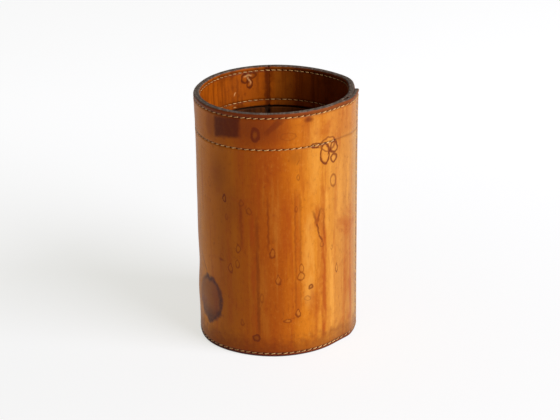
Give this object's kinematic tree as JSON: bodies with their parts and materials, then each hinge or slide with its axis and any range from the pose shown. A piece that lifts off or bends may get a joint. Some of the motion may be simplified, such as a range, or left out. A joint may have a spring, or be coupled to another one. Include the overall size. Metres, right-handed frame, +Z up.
{
  "type": "leather dice cup",
  "caption": "Tall round hand-stitched leather cup with a lapped side seam, stitched collar, lining and inset stitched base, for shaking dice.",
  "frame": {"origin": "middle of the cup's footprint, on the surface that it stands on", "axes": "+Z up along the cup's axis, out of its mouth; +X towards the lapped side seam; +Y completes the right-handed frame"},
  "size_m": [0.0911, 0.0894, 0.141],
  "materials": {
    "wall_leather": "smooth waxed grain, aged tan",
    "collar_leather": "smooth grain, darkened by use",
    "lining_leather": "matt, dark brown",
    "base_leather": "moulded, waxed",
    "leatherboard": "pressed fibre board",
    "thread": "waxed linen, yellowed"
  },
  "bodies": {
    "root": {"outer_wall": "wall_leather", "rim_collar": "collar_leather", "wall_lining": "lining_leather", "base_pan": "base_leather", "floor_stiffener": "leatherboard", "floor_lining": "lining_leather", "rim_stitching": "thread", "collar_stitching": "thread", "base_stitching": "thread", "seam_stitching": "thread"}
  },
  "joints": []
}
